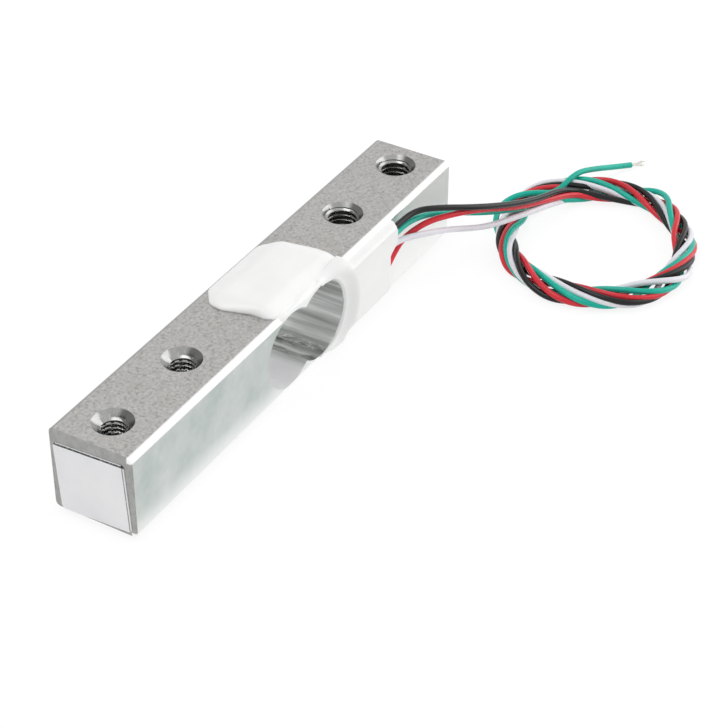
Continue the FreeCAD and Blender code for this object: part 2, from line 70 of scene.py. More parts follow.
# The bar, its double-lobed hole and the silicone round that
BAR_HALF = 6.35                         # mm, half the bar's width and height
BAR_TOP = 2 * BAR_HALF * MM
BAR_SIDE = BAR_HALF * MM
BAR_MIDDLE = Vector((-27.5 * MM, 0, BAR_SIDE))
EDGE_RADIUS = 0.9                       # mm, its four long edges
EDGE_CORE = BAR_HALF - EDGE_RADIUS
LOBE_AXES = (-31.3, -23.7)              # mm, X of the load lobe and of the fixed lobe
RIM_RADIUS = 5.9                        # mm, of the silicone's edge round a lobe
HOLE_REACH = 9.7 * MM                   # from the bar's middle to just past the hole's ends
HOLE_HALF = 5.9 * MM                    # from the bar's middle to just above the hole
SMOOTH_ANGLE = math.radians(28)         # the sharpest edge of the bar that is shaded smooth
FLOOR = -0.8 * MM                       # the underside of the silicone

# Leads and their bare ends, and the label
LEAD_DIAMETER = 0.9 * MM
TIP_LENGTH = 3.2 * MM
TIP_STRANDS = 7
STRAND_RADIUS = 0.07 * MM
LABEL_WIDTH = 10.8 * MM
LABEL_HEIGHT = 10.5 * MM
LABEL_CENTRE_Z = 5.72 * MM
LABEL_TILT = math.radians(3.2)

# Tapped holes: axis X, minor radius, major radius, pitch, radius of the countersunk mouth
THREAD_STEPS = 32                       # sections in one turn of a thread
THREADS = [
    (-7.5 * MM, 2.1 * MM, 2.5 * MM, 0.8 * MM, 2.95 * MM),
    (7.5 * MM, 2.1 * MM, 2.5 * MM, 0.8 * MM, 2.95 * MM),
    (-62.5 * MM, 1.65 * MM, 2.0 * MM, 0.7 * MM, 2.75 * MM),
    (-47.5 * MM, 1.65 * MM, 2.0 * MM, 0.7 * MM, 2.75 * MM),
]

# The coil of leads: a ring on the floor, round which the four leads run as one loose rope
COIL_CENTRE = Vector((21.7 * MM, -26.5 * MM, FLOOR))
COIL_RADIUS = 13.3 * MM
ROPE_WIDTH = 1.25 * MM                  # from the rope's middle out to a lead's middle
ROPE_RISE = 0.85 * MM                   # the same upward: the rope lies flattened
TWISTS = 3.5                            # of the rope in one turn of the coil
POINTS_PER_TURN = 30
COIL_RIGHT = Vector((0.51, -0.86, 0))   # along the floor, the camera's right
COIL_FAR = Vector((0.86, 0.51, 0))      # along the floor, away from the camera
ENTRY_INSET = 1.6 * MM                  # how far inside the rope the leads join it
COIL_START = math.radians(100)
COIL_TRAVEL = math.radians(708)


# ------------------------------------------------------------------ node materials

class Material:
    """A Principled material and the few node idioms that this scene uses."""

    def __init__(self, name, color, roughness, metallic=0.0, **sockets):
        self.material = bpy.data.materials.new(name)
        self.material.use_nodes = True
        self.tree = self.material.node_tree
        self.shader = self.tree.nodes["Principled BSDF"]
        self.shader.inputs["Base Color"].default_value = (*color, 1)
        self.shader.inputs["Roughness"].default_value = roughness
        self.shader.inputs["Metallic"].default_value = metallic
        for socket, value in sockets.items():
            self.shader.inputs[socket.replace("_", " ")].default_value = value
        self.height = None
        self.place = self.node("ShaderNodeTexCoord").outputs["Object"]

    def node(self, kind, **values):
        node = self.tree.nodes.new(kind)
        for key, value in values.items():
            setattr(node, key, value)
        return node

    def link(self, output, socket):
        self.tree.links.new(output, socket)

    def stretched(self, stretch):
        mapping = self.node("ShaderNodeMapping")
        mapping.inputs["Scale"].default_value = stretch
        self.link(self.place, mapping.inputs["Vector"])
        return mapping.outputs["Vector"]

    def noise(self, scale, detail=3.0, roughness=0.5, stretch=(1, 1, 1), distortion=0.0):
        node = self.node("ShaderNodeTexNoise")
        node.inputs["Scale"].default_value = scale
        node.inputs["Detail"].default_value = detail
        node.inputs["Roughness"].default_value = roughness
        node.inputs["Distortion"].default_value = distortion
        self.link(self.stretched(stretch), node.inputs["Vector"])
        return node.outputs["Fac"]

    def math(self, operation, a, b=0.0):
        node = self.node("ShaderNodeMath", operation=operation)
        for socket, value in zip(node.inputs, (a, b)):
            if isinstance(value, (int, float)):
                socket.default_value = value
            else:
                self.link(value, socket)
        return node.outputs[0]

    def axis(self, name):
        node = self.node("ShaderNodeSeparateXYZ")
        self.link(self.place, node.inputs[0])
        return node.outputs[name]

    def normal_axis(self, name):
        geometry = self.node("ShaderNodeNewGeometry")
        node = self.node("ShaderNodeSeparateXYZ")
        self.link(geometry.outputs["Normal"], node.inputs[0])
        return node.outputs[name]

    def inside_bore(self):
        """1 on the wall of the double-lobed hole, and 0 elsewhere."""
        across = self.math("ABSOLUTE", self.math("SUBTRACT", self.axis("X"), BAR_MIDDLE.x))
        height = self.math("ABSOLUTE", self.math("SUBTRACT", self.axis("Z"), BAR_MIDDLE.z))
        wall = self.math("LESS_THAN", self.math("ABSOLUTE", self.normal_axis("Y")), 0.3)
        near = self.math("LESS_THAN", across, HOLE_REACH)
        inner = self.math("LESS_THAN", height, HOLE_HALF)
        return self.math("MULTIPLY", wall, self.math("MULTIPLY", near, inner))

    def between(self, value, low, high):
        """0 at low, 1 at high, and smooth from one to the other."""
        node = self.node("ShaderNodeMapRange", interpolation_type="SMOOTHSTEP")
        node.inputs["From Min"].default_value = low
        node.inputs["From Max"].default_value = high
        self.link(value, node.inputs["Value"])
        return node.outputs[0]

    def ramp(self, value, *stops):
        node = self.node("ShaderNodeValToRGB")
        elements = node.color_ramp.elements
        while len(elements) < len(stops):
            elements.new(1.0)
        for element, (position, color) in zip(elements, stops):
            element.position = position
            element.color = (*color, 1)
        self.link(value, node.inputs[0])
        return node.outputs[0]

    def mix(self, amount, a, b):
        node = self.node("ShaderNodeMix", data_type="RGBA", blend_type="MIX")
        for socket, value in ((node.inputs[0], amount), (node.inputs[6], a), (node.inputs[7], b)):
            if isinstance(value, (int, float)):
                socket.default_value = value
            elif isinstance(value, tuple):
                socket.default_value = (*value, 1)
            else:
                self.link(value, socket)
        return node.outputs[2]

    def color(self, output):
        self.link(output, self.shader.inputs["Base Color"])

    def roughness(self, output):
        self.link(output, self.shader.inputs["Roughness"])

    def bump(self, height, strength, distance):
        node = self.node("ShaderNodeBump")
        node.inputs["Strength"].default_value = strength
        node.inputs["Distance"].default_value = distance
        self.link(height, node.inputs["Height"])
        if self.height is not None:
            self.link(self.height, node.inputs["Normal"])
        self.height = node.outputs[0]
        self.link(self.height, self.shader.inputs["Normal"])

    def on(self, *objects):
        for item in objects:
            item.data.materials.clear()
            item.data.materials.append(self.material)


def side_and_end_color(m, blotch, side, near):
    """Plain grey on the ends, and a cool, cloudy tone on the two sides. Painted light makes it
    lighter along the foot of the sides and, on the near one, towards the fixed end."""
    x, z = m.axis("X"), m.axis("Z")
    cloud = m.noise(190, 4, 0.6)
    plain = m.ramp(blotch, (0.3, (0.30, 0.30, 0.295)), (0.7, (0.39, 0.39, 0.38)))
    cool = m.ramp(cloud, (0.3, (0.46, 0.52, 0.50)), (0.7, (0.63, 0.66, 0.645)))
    # painted light along the foot of the sides
    cool = m.mix(m.between(z, 4.5 * MM, 0.0), cool, (0.84, 0.86, 0.85))
    # painted light on the near side, towards the fixed end
    cool = m.mix(m.math("MULTIPLY", m.between(x, -22 * MM, 0), near), cool, (0.96, 0.97, 0.96))
    return m.mix(side, plain, cool)


def top_color(m, blotch, grain):
    """Warm and mottled, with a fine dark and light grain."""
    top = m.ramp(blotch, (0.25, (0.405, 0.395, 0.38)), (0.75, (0.475, 0.465, 0.455)))
    top = m.mix(m.math("MULTIPLY", m.between(grain, 0.5, 0.34), 0.7), top, (0.24, 0.235, 0.225))
    return m.mix(m.math("MULTIPLY", m.between(grain, 0.52, 0.68), 0.6), top,
                 (0.58, 0.575, 0.565))


def painted_edge_light(m, color, near):
    """Painted light on the rounded long edges: a painted highlight on the near side, and painted
    shade on the far one.
    """
    to_side = m.math("SUBTRACT", BAR_SIDE, m.math("ABSOLUTE", m.axis("Y")))
    from_middle = m.math("ABSOLUTE", m.math("SUBTRACT", m.axis("Z"), BAR_MIDDLE.z))
    to_top = m.math("SUBTRACT", BAR_MIDDLE.z, from_middle)
    edge = m.between(m.math("MAXIMUM", to_side, to_top), 0.9 * MM, 0.6 * MM)
    # painted highlight along the near rounded edges
    color = m.mix(m.math("MULTIPLY", edge, near), color, (0.93, 0.93, 0.92))
    # painted shade along the far rounded edges
    far_edge = m.math("MULTIPLY", edge, m.math("SUBTRACT", 1, near))
    return m.mix(m.math("MULTIPLY", far_edge, 0.6), color, (0.30, 0.30, 0.29))


def bore_painted_shade(m, bore):
    """Where the painted shade lies, in brushed streaks, low on the wall of the fixed lobe."""
    x, z = m.axis("X"), m.axis("Z")
    shade_mask = m.math("MULTIPLY", m.between(x, -27.7 * MM, -27.2 * MM),
                   m.between(x, -21.2 * MM, -23.4 * MM))
    shade_mask = m.math("MULTIPLY", shade_mask, m.between(z, 3.8 * MM, 2.9 * MM))
    shade_mask = m.math("MULTIPLY", shade_mask, bore)
    brushed = m.noise(620, 6, 0.75, stretch=(1, 0.28, 1), distortion=0.6)
    return m.math("MULTIPLY", shade_mask, m.between(brushed, 0.45, 0.54))


def shaded_countersinks(m, bore):
    """Painted shade on the halves of the countersinks that face the camera's left."""
    across = m.math("SUBTRACT", m.math("MULTIPLY", m.normal_axis("X"), COIL_RIGHT.x),
                    m.math("MULTIPLY", m.normal_axis("Y"), -COIL_RIGHT.y))
    shaded = m.math("MULTIPLY", m.between(across, -0.08, -0.4), m.math("SUBTRACT", 1, bore))
    shaded = m.math("MULTIPLY", shaded,
                    m.math("LESS_THAN", m.math("ABSOLUTE", m.axis("Y")), 4 * MM))
    return m.math("MULTIPLY", shaded, m.math("GREATER_THAN", m.axis("X"), -67 * MM))


def machined_aluminium():
    """Dull, mottled metal, polished in the countersinks and streaked in the hole, with painted
    highlights and painted shade on its edges, in its hole and in its countersinks.
    """
    m = Material("machined_aluminium", (0.6, 0.62, 0.6), 0.4, 0.9)
    x, z = m.axis("X"), m.axis("Z")
    blotch = m.noise(900, 4, 0.65)
    grain = m.noise(2300, 4, 0.7)
    speckle = m.noise(3600, 3, 0.7)
    up = m.between(m.math("ABSOLUTE", m.normal_axis("Z")), 0.9, 0.98)
    side = m.between(m.math("ABSOLUTE", m.normal_axis("Y")), 0.9, 0.98)
    near = m.math("LESS_THAN", m.axis("Y"), 0)
    color = m.mix(up, side_and_end_color(m, blotch, side, near), top_color(m, blotch, grain))
    color = m.mix(m.math("MULTIPLY", m.between(speckle, 0.52, 0.72), 0.2), color,
                  (0.60, 0.60, 0.59))
    color = painted_edge_light(m, color, near)

    bore = m.inside_bore()
    streak = m.noise(900, 4, 0.6, stretch=(1, 0.05, 1))
    bore_color = m.ramp(streak, (0.3, (0.36, 0.37, 0.365)), (0.52, (0.66, 0.67, 0.66)),
                        (0.7, (0.98, 0.98, 0.97)))
    # painted highlight: a pale sheen low on the wall of the load lobe
    painted_sheen = m.math("MULTIPLY", m.between(x, -27.6 * MM, -28.8 * MM),
                    m.between(z, 7.0 * MM, 4.0 * MM))
    bore_color = m.mix(painted_sheen, bore_color, (0.98, 0.97, 0.99))
    color = m.mix(bore, color, bore_color)
    # painted shade, low on the wall of the fixed lobe
    color = m.mix(m.math("MULTIPLY", bore_painted_shade(m, bore), 0.8), color, (0.07, 0.08, 0.075))
    # painted shade on the countersinks' halves that face the camera's left
    shaded = m.math("MULTIPLY", shaded_countersinks(m, bore), 0.85)
    m.color(m.mix(shaded, color, (0.09, 0.09, 0.085)))

    rough = m.math("ADD", m.math("MULTIPLY", blotch, 0.18), 0.3)
    flat = m.math("MAXIMUM", m.math("MAXIMUM", up, side), bore)
    m.roughness(m.math("MULTIPLY", rough, m.math("ADD", m.math("MULTIPLY", flat, 0.45), 0.55)))
    dull = m.math("ADD", m.math("MULTIPLY", bore, 0.4), m.math("MULTIPLY", painted_sheen, 0.3))
    m.link(m.math("SUBTRACT", 0.9, m.math("MULTIPLY", bore, dull)),
           m.shader.inputs["Metallic"])
    m.bump(m.math("MULTIPLY", grain, up), 0.35, 0.025 * MM)
    m.bump(m.math("MULTIPLY", streak, bore), 0.3, 0.03 * MM)
    return m


def silicone():
    m = Material("white_silicone", (0.9, 0.9, 0.89), 0.32, 0.0, Coat_Weight=0.08,
                 Coat_Roughness=0.2, Subsurface_Weight=0.0)
    m.color(m.ramp(m.noise(160, 3), (0.3, (0.90, 0.90, 0.895)), (0.7, (0.955, 0.955, 0.95))))
    m.roughness(m.math("ADD", m.math("MULTIPLY", m.noise(300, 3), 0.2), 0.22))
    m.bump(m.noise(260, 2), 0.25, 0.25 * MM)
    return m


def insulation(name, dark, light, roughness=0.22):
    m = Material(name, light, roughness, 0.0, Coat_Weight=0.06, Coat_Roughness=0.12,
                 Specular_IOR_Level=0.3)
    m.color(m.ramp(m.noise(240, 3), (0.3, dark), (0.7, light)))
    m.roughness(m.math("ADD", m.math("MULTIPLY", m.noise(900, 3), 0.18), roughness - 0.06))
    m.bump(m.noise(700, 2), 0.2, 0.05 * MM)
    return m


def bare_metal(name, dark, light, roughness, metallic=0.9):
    m = Material(name, light, roughness, metallic)
    m.color(m.ramp(m.noise(900, 3), (0.3, dark), (0.7, light)))
    m.bump(m.noise(3000, 2), 0.2, 0.02 * MM)
    return m


def matt(name, dark, light, roughness, scale=600):
    m = Material(name, light, roughness)
    m.color(m.ramp(m.noise(scale, 4), (0.3, dark), (0.7, light)))
    m.bump(m.noise(scale * 3, 3), 0.2, 0.02 * MM)
    return m


def label_material():
    """White film with a printed line along its top edge, and a thin line of painted shadow down
    its near side.
    """
    m = Material("label_paper", (0.9, 0.9, 0.9), 0.5)
    centred = m.node("ShaderNodeMapping")
    centred.inputs["Location"].default_value = (0, 0, -LABEL_CENTRE_Z)
    m.link(m.place, centred.inputs["Vector"])
    level = m.node("ShaderNodeMapping")
    level.inputs["Rotation"].default_value = (LABEL_TILT, 0, 0)
    m.link(centred.outputs["Vector"], level.inputs["Vector"])
    m.place = level.outputs["Vector"]
    y, z = m.axis("Y"), m.axis("Z")
    top = LABEL_HEIGHT / 2
    near = -LABEL_WIDTH / 2
    edge_line = m.math("MULTIPLY", m.math("GREATER_THAN", z, top - 0.36 * MM),
                       m.math("LESS_THAN", z, top - 0.04 * MM))
    side_shadow_line = m.math("MULTIPLY", m.math("LESS_THAN", y, near + 0.34 * MM),
                       m.math("GREATER_THAN", y, near + 0.16 * MM))
    print_wear_and_shadow_gaps = m.between(m.noise(2600, 3, 0.7), 0.3, 0.45)
    paper = m.ramp(m.noise(260, 3), (0.3, (0.91, 0.91, 0.93)), (0.7, (0.97, 0.97, 0.98)))
    # painted shadow down the label's near side, broken in places
    color = m.mix(m.math("MULTIPLY", side_shadow_line, m.math("MULTIPLY", print_wear_and_shadow_gaps, 0.8)), paper,
                  (0.12, 0.12, 0.12))
    m.color(m.mix(m.math("MULTIPLY", edge_line, print_wear_and_shadow_gaps), color, (0.03, 0.03, 0.03)))
    m.bump(m.noise(1500, 3), 0.15, 0.02 * MM)
    return m


# ------------------------------------------------------------------ meshes

def mesh_object(name, bm, smooth=True):
    mesh = bpy.data.meshes.new(name)
    bm.to_mesh(mesh)
    bm.free()
    piece = bpy.data.objects.new(name, mesh)
    bpy.context.collection.objects.link(piece)
    if smooth:
        mesh.shade_smooth()
    return piece


def applied(piece, *modifiers):
    """Adds each (kind, settings) modifier to piece and writes the result into its mesh."""
    for kind, settings in modifiers:
        modifier = piece.modifiers.new(kind.lower(), kind)
        for key, value in settings.items():
            setattr(modifier, key, value)
    graph = bpy.context.evaluated_depsgraph_get()
    mesh = bpy.data.meshes.new_from_object(piece.evaluated_get(graph))
    piece.modifiers.clear()
    old = piece.data
    piece.data = mesh
    bpy.data.meshes.remove(old)
    return piece


def copy_of(node, name):
    piece = bpy.data.objects.new(name, frame["nodes"][node].data.copy())
    bpy.context.collection.objects.link(piece)
    return piece


def thread_cutter(x, minor, major, pitch):
    """A helical ridge of V section, a little longer than the hole it cuts."""
    turns = math.ceil(BAR_TOP / pitch) + 2
    inner = minor - 0.12 * MM
    foot, crest = 0.44 * pitch, 0.07 * pitch
    section = [(inner, foot), (major, crest), (major, -crest), (inner, -foot)]
    bm = bmesh.new()
    rings = []
    for step in range(turns * THREAD_STEPS + 1):
        angle = math.tau * step / THREAD_STEPS
        z = -pitch + pitch * step / THREAD_STEPS
        direction = Vector((math.cos(angle), math.sin(angle), 0))
        rings.append([bm.verts.new(Vector((x, 0, z + dz)) + direction * r) for r, dz in section])
    for near, far in zip(rings, rings[1:]):
        for corner in range(4):
            after = (corner + 1) % 4
            bm.faces.new((near[corner], far[corner], far[after], near[after]))
    bm.faces.new(rings[0])
    bm.faces.new(reversed(rings[-1]))
    bmesh.ops.recalc_face_normals(bm, faces=bm.faces)
    return mesh_object("thread_cutter", bm, smooth=False)


def mouth_cutter(x, minor, mouth):
    """The two countersinks of a hole, as finely round cones that just clear the coarser ones."""
    beyond = 0.05 * MM
    clear = 0.01 * MM
    depth = mouth - minor + beyond
    bm = bmesh.new()
    for place, narrow, wide in ((BAR_TOP + beyond - depth / 2, minor, mouth + beyond),
                                (depth / 2 - beyond, mouth + beyond, minor)):
        bmesh.ops.create_cone(bm, cap_ends=True, segments=96, radius1=narrow + clear,
                              radius2=wide + clear, depth=depth,
                              matrix=Matrix.Translation((x, 0, place)))
    return mesh_object("mouth_cutter", bm, smooth=False)


def keep_faces_flat(mesh):
    """Marks the edges between the bar's six plain faces and its rounded ones as sharp."""
    low, high = Vector(mesh.vertices[0].co), Vector(mesh.vertices[0].co)
    for vertex in mesh.vertices:
        for axis in range(3):
            low[axis] = min(low[axis], vertex.co[axis])
            high[axis] = max(high[axis], vertex.co[axis])
    plain = {}
    for face in mesh.polygons:
        on_outside = any(abs(face.center[axis] - end[axis]) < 0.01 * MM
                         for axis in range(3) for end in (low, high))
        for key in face.edge_keys:
            plain.setdefault(key, []).append(on_outside)
    for edge in mesh.edges:
        if len(set(plain[edge.key])) == 2:
            edge.use_edge_sharp = True


def threaded_bar():
    bar = copy_of("beam", "bar")
    for x, minor, major, pitch, mouth in THREADS:
        for cutter in (mouth_cutter(x, minor, mouth), thread_cutter(x, minor, major, pitch)):
            applied(bar, ("BOOLEAN", {"object": cutter, "operation": "DIFFERENCE",
                                      "solver": "EXACT"}))
            bpy.data.objects.remove(cutter)
    bar.data.shade_smooth()
    bar.data.set_sharp_from_angle(angle=SMOOTH_ANGLE)
    keep_faces_flat(bar.data)
    applied(bar, ("WEIGHTED_NORMAL", {"keep_sharp": True, "weight": 100}))
    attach(bar, "root")
    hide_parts("beam")
    return bar


def smoothstep(low, high, value):
    """0 at low, 1 at high. low may be the larger one."""
    share = min(max((value - low) / (high - low), 0), 1)
    return share * share * (3 - 2 * share)


def add_box(bm, low, high):
    """A box between two corners in mm."""
    low, high = Vector(low) * MM, Vector(high) * MM
    size = high - low
    place = Matrix.Translation((low + high) / 2) @ Matrix.Diagonal((*size, 1))
    bmesh.ops.create_cube(bm, size=1, matrix=place)


def rim_height(x):
    """How far above or below the bar's middle the silicone's edge round the lobes stands at x."""
    aside = min(abs(x - axis) for axis in LOBE_AXES)
    return math.sqrt(max(RIM_RADIUS ** 2 - aside ** 2, 0))


def add_web(bm, ends, sides, reach, mirrored=False):
    """Fills between the lobes' rim and reach above the bar's middle, or below if mirrored.
    ends are its limits in X and sides those in Y, all in mm."""
    start, end = ends
    steps = math.ceil((end - start) / 0.25)
    rows = []
    for step in range(steps + 1):
        x = start + (end - start) * step / steps
        rim = rim_height(x)
        section = [(sides[0], rim), (sides[0], reach), (sides[1], reach), (sides[1], rim)]
        sign = -1 if mirrored else 1
        rows.append([bm.verts.new(Vector((x, y, BAR_HALF + sign * z)) * MM) for y, z in section])
    for before, after in zip(rows, rows[1:]):
        for corner in range(4):
            following = (corner + 1) % 4
            bm.faces.new((before[corner], before[following], after[following], after[corner]))
    bm.faces.new(rows[0])
    bm.faces.new(reversed(rows[-1]))


def coat_share(x, z):
    """The share of its full thickness that the coat keeps on the near side and the near edges,
    at x and z in mm. It thins round the lobes, at both ends and towards the underside."""
    from_lobe = min(math.hypot(x - axis, z - BAR_HALF) for axis in LOBE_AXES)
    share = 0.3 + 0.7 * smoothstep(6.0, 8.2, from_lobe)
    beyond_patch = smoothstep(-18.6, -16.6, x)
    share *= 1 - beyond_patch * smoothstep(11.6, 12.75, z)
    share *= 1 - (0.45 + 0.55 * beyond_patch) * smoothstep(2.4, 0.2, z)
    share *= smoothstep(-34.2, -32.4, x)
    nose = smoothstep(7.6, 9.2, z)
    full, thin = -7.5 + 2.0 * nose, -5.0 + 2.0 * nose
    return share * (1 - 0.8 * smoothstep(full, thin, x))


def laid_on_metal(point):
    """Where the soft, hand-laid coat has a point of its surface: a low dome on the bar's top,
    and a skin of varied thickness over the near side and the rounded edges."""
    x, y, z = point / MM
    top = z - 2 * BAR_HALF
    if y > -EDGE_CORE and x < -17.6:
        if top > -0.2:
            dome = 0.22 + 0.78 * smoothstep(6.0, 2.2, y)
            dome *= 0.45 + 0.55 * smoothstep(-36.4, -33.2, x)
            dome *= 0.40 + 0.60 * smoothstep(-16.8, -20.0, x)
            dome *= 0.35 + 0.65 * smoothstep(-5.6, -3.4, y)
            dip = 0.25 * math.exp(-((x + 26.5) / 2.6) ** 2 - ((y - 4.4) / 1.0) ** 2)
            z = 2 * BAR_HALF + top * dome * (1 - dip) if top > 0.1 else z - 0.15
        return Vector((x, y, z)) * MM
    beside = max(-y - EDGE_CORE, 0)
    above = max(abs(z - BAR_HALF) - EDGE_CORE, 0)
    reach = math.hypot(beside, above)
    if reach > EDGE_RADIUS:
        share = coat_share(x, z) if beside else 0
        skin = 0.3 + 1.2 * smoothstep(-23.0, -18.0, x)
        thick = min((reach - EDGE_RADIUS) * share, skin) - 0.08 * (1 - share)
        scale = (EDGE_RADIUS + thick) / reach
        y = -(EDGE_CORE + beside * scale) if beside else y
        if above:
            z = BAR_HALF + math.copysign(EDGE_CORE + above * scale, z - BAR_HALF)
    return Vector((x, y, z)) * MM


def soft_coat():
    """The silicone: the CAD solid with its inner rooms filled and a skin over the bar's near
    edge, remeshed finely, smoothed into one flowing bead and laid on the metal."""
    bm = bmesh.new()
    bm.from_mesh(frame["nodes"]["sealant"].data)
    # Rooms: of the gauges on top and underneath, of the strip, and of the leads beside it
    add_box(bm, (-34.5, -4.7, 12.72), (-19.3, 1.6, 13.3))
    add_box(bm, (-34.5, -4.7, -0.55), (-19.3, 1.6, -0.02))
    add_box(bm, (-17.4, -7.45, 0.9), (-13.6, -6.37, 11.9))
    add_box(bm, (-13.7, -7.3, 3.6), (-8.5, -6.37, 11.3))
    # Webs: over the near edge, and up and down the side beside the fixed lobe
    add_web(bm, (-34.2, -17.8), (-6.75, -5.2), BAR_HALF + 0.3)
    for mirrored in (False, True):
        add_web(bm, (-19.9, -13.6), (-7.0, -6.37), EDGE_CORE + 0.3, mirrored)
        add_web(bm, (-19.8, -18.2), (-6.9, -4.8), BAR_HALF + 0.35, mirrored)
    coat = mesh_object("silicone_coat", bm)
    applied(coat, ("REMESH", {"mode": "VOXEL", "voxel_size": 0.15 * MM}),
            ("SMOOTH", {"factor": 0.6, "iterations": 12}))
    for vertex in coat.data.vertices:
        vertex.co = laid_on_metal(vertex.co)
    applied(coat, ("SMOOTH", {"factor": 0.5, "iterations": 5}))
    coat.data.shade_smooth()
    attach(coat, "root")
    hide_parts("sealant")
    return coat


# ------------------------------------------------------------------ leads

# The leads' routes up to the coil, and beyond it, in mm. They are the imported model's, apart from
# the last few points before the coil, which lead into the rope, and a shorter green tail.
ROUTES = {
    "red": [
        (-12.6, -7.1, 4.6), (-9.6, -7.1, 4.7), (-7.0, -7.05, 5.6), (-4.9, -7.05, 7.0),
        (-2.8, -7.2, 8.2), (0.6, -9.0, 9.7), (4.0, -11.4, 9.9), (9.2, -13.2, 8.5),
        (17.6, -15.9, 5.1), (25.8, -17.3, 2.7)],
    "white": [
        (-12.6, -7.1, 6.5), (-9.9, -7.1, 7.5), (-7.2, -7.1, 8.7), (-4.5, -7.5, 9.0),
        (-1.4, -9.1, 8.7), (3.6, -10.9, 7.4), (10.2, -13.9, 5.0), (17.0, -16.2, 4.1),
        (26.4, -17.6, 1.7)],
    "green": [
        (-12.6, -7.1, 8.4), (-9.6, -7.1, 9.3), (-6.0, -7.1, 10.2), (-0.8, -7.6, 10.7),
        (4.8, -9.4, 9.2), (11.5, -13.0, 6.5), (19.1, -15.5, 4.0), (26.3, -17.0, 2.0)],
    "black": [
        (-12.6, -7.1, 10.3), (-9.4, -7.1, 10.9), (-5.0, -7.2, 11.5), (-0.6, -7.8, 11.9),
        (2.2, -10.0, 11.6), (7.4, -13.4, 9.9), (14.6, -15.8, 7.2), (21.8, -16.8, 4.6),
        (27.6, -17.2, 3.0)],
}
TAILS = {
    "red": [(32.9, -16.9, 0.6), (35.4, -18.0, -0.1), (37.2, -20.2, -0.35), (38.2, -22.9, -0.35)],
    "white": [(25.9, -12.6, 0.5), (28.4, -12.4, -0.2), (30.8, -13.5, -0.35)],
    "green": [(34.4, -16.9, 2.5), (38.1, -18.3, 1.65), (42.2, -20.3, 0.5),
              (44.7, -21.7, -0.05)],
    "black": [(34.9, -20.6, 0.6), (36.4, -22.1, -0.1), (37.2, -24.4, -0.35),
              (37.5, -27.0, -0.35)],
}
# Each lead's place round the rope's middle where it joins the coil (0 outward, 90 up), and how
# much further or less far round the coil it runs than COIL_TRAVEL, both in degrees
ROPE_PLACE = {"black": 110, "red": 155, "green": 200, "white": 245}
EXTRA_TRAVEL = {"green": 0, "white": -30, "black": 16, "red": 2}
# Where a lead stands loose from the rope: degrees travelled, half the stretch, distance in mm
LOOSE = {
    "green": [(60, 34, 1.5), (300, 30, 0.7), (672, 40, 1.2)],
    "white": [(150, 40, 0.6), (330, 36, 0.9), (520, 40, 0.5)],
    "red": [(88, 30, 0.7), (240, 40, 0.5), (450, 34, 0.6)],
    "black": [(196, 40, 0.7), (348, 34, 0.8), (560, 44, 0.6)],
}
# Where each lead's slow wander in the rope starts, in radians
WAVER = {"green": 0.0, "white": 1.7, "black": 3.1, "red": 4.6}


def bump(value, middle, half):
    """1 at the middle and 0 from half away on, all in degrees."""
    off = min(abs(value - middle) / half, 1)
    return (1 + math.cos(math.pi * off)) / 2


def coil_point(turned, place, loose):
    """A point of a lead on the coil, after turned of travel and at place round the rope."""
    angle = COIL_START - turned
    far, near = max(0, math.sin(angle)) ** 2, max(0, -math.sin(angle)) ** 2
    ring = COIL_RADIUS + (1.8 * far + 1.6 * near) * MM
    width = ROPE_WIDTH + (0.55 * far + 0.65 * near + loose) * MM
    rise = ROPE_RISE + 0.5 * loose * MM
    inward = ENTRY_INSET * (1 - smoothstep(5, 65, math.degrees(turned)))
    outward = COIL_RIGHT * math.cos(angle) + COIL_FAR * math.sin(angle)
    height = ROPE_RISE + LEAD_DIAMETER / 2 + rise * math.sin(place)
    return (COIL_CENTRE + outward * (ring - inward + width * math.cos(place))
            + Vector((0, 0, max(height, LEAD_DIAMETER / 2))))


def looseness(colour, turned):
    """How far in mm the lead stands off from the rope after turned of travel."""
    degrees = math.degrees(turned)
    loose = 0.12 * math.sin(2.3 * turned + WAVER[colour])
    for middle, half, distance in LOOSE[colour]:
        loose += distance * bump(degrees, middle, half)
    return loose


def coil_points(colour):
    """The lead's two turns of the coil, twisted with the other three."""
    travel = COIL_TRAVEL + math.radians(EXTRA_TRAVEL[colour])
    steps = round(POINTS_PER_TURN * travel / math.tau)
    points = []
    for step in range(steps + 1):
        turned = travel * step / steps
        place = (math.radians(ROPE_PLACE[colour] + 14 * math.sin(2 * turned + WAVER[colour]))
                 + TWISTS * turned)
        points.append(coil_point(turned, place, looseness(colour, turned)))
    return points


def lead(colour, material):
    """Draws the lead as one cord, and returns its bare tip."""
    route = [Vector(point) * MM for point in ROUTES[colour]]
    tail = [Vector(point) * MM for point in TAILS[colour]]
    points = route + coil_points(colour) + tail
    curve = bpy.data.curves.new(colour + "_insulation", "CURVE")
    curve.dimensions = "3D"
    curve.bevel_depth = 1                   # times each point's radius
    curve.bevel_resolution = 5
    curve.resolution_u = 8
    curve.use_fill_caps = True
    spline = curve.splines.new("NURBS")
    spline.points.add(len(points) - 1)
    for control, point in zip(spline.points, points):
        control.co = (*point, 1)
        control.radius = LEAD_DIAMETER / 2
    spline.order_u = 3
    spline.use_endpoint_u = True
    piece = bpy.data.objects.new(colour + "_insulation", curve)
    bpy.context.collection.objects.link(piece)
    curve.materials.append(material.material)
    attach(piece, "root")
    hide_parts(colour + "_lead", colour + "_lead_tail", "lead_coil")
    line_length = centre_line_length(piece)
    print(colour, "lead", round(line_length / MM, 1), "mm")
    tip = stripped_tip(colour, points[-1], points[-1] - points[-2])
    return tip


